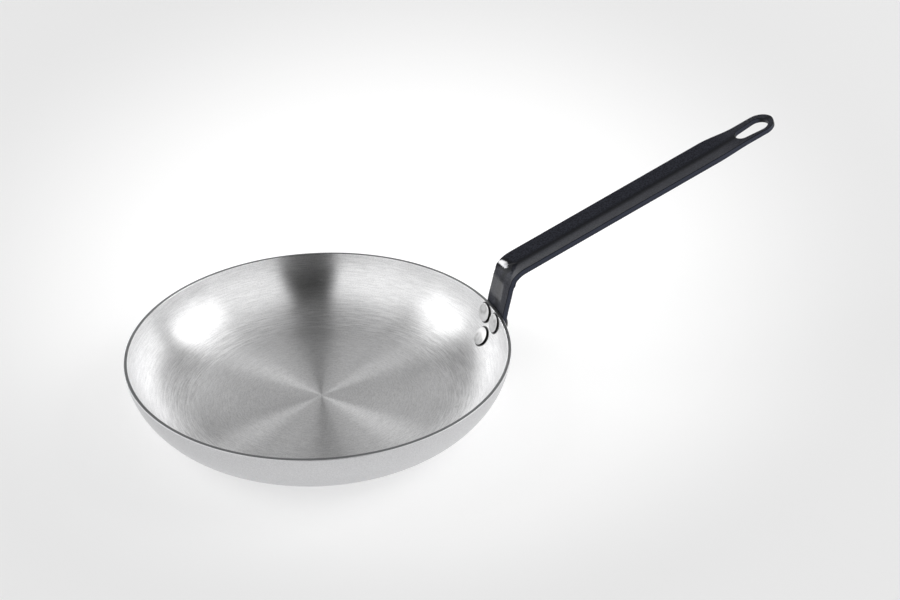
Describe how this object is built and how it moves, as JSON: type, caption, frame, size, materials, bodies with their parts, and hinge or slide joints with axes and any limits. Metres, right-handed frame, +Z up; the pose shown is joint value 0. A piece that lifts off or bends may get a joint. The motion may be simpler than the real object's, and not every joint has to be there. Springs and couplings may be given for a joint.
{
  "type": "omelette pan",
  "caption": "Shallow spun aluminium omelette pan with curved sides and a long riveted strip handle that ends in a hanging eye.",
  "frame": {"origin": "centre of the flat underside of the base, which stands on the table", "axes": "+Z up out of the pan, +X along the handle from the pan's axis to the tip, +Y to the left of the handle"},
  "size_m": [0.5097, 0.2798, 0.1666],
  "materials": {
    "pan_body": "satin, spun in fine rings",
    "handle": "semi-gloss black coating with a fine grain",
    "rivets": "smooth, softly bright"
  },
  "bodies": {
    "root": {"pan_body": "pan_body", "handle": "handle", "rivet_left": "rivets", "rivet_right": "rivets", "rivet_lower": "rivets"}
  },
  "joints": []
}
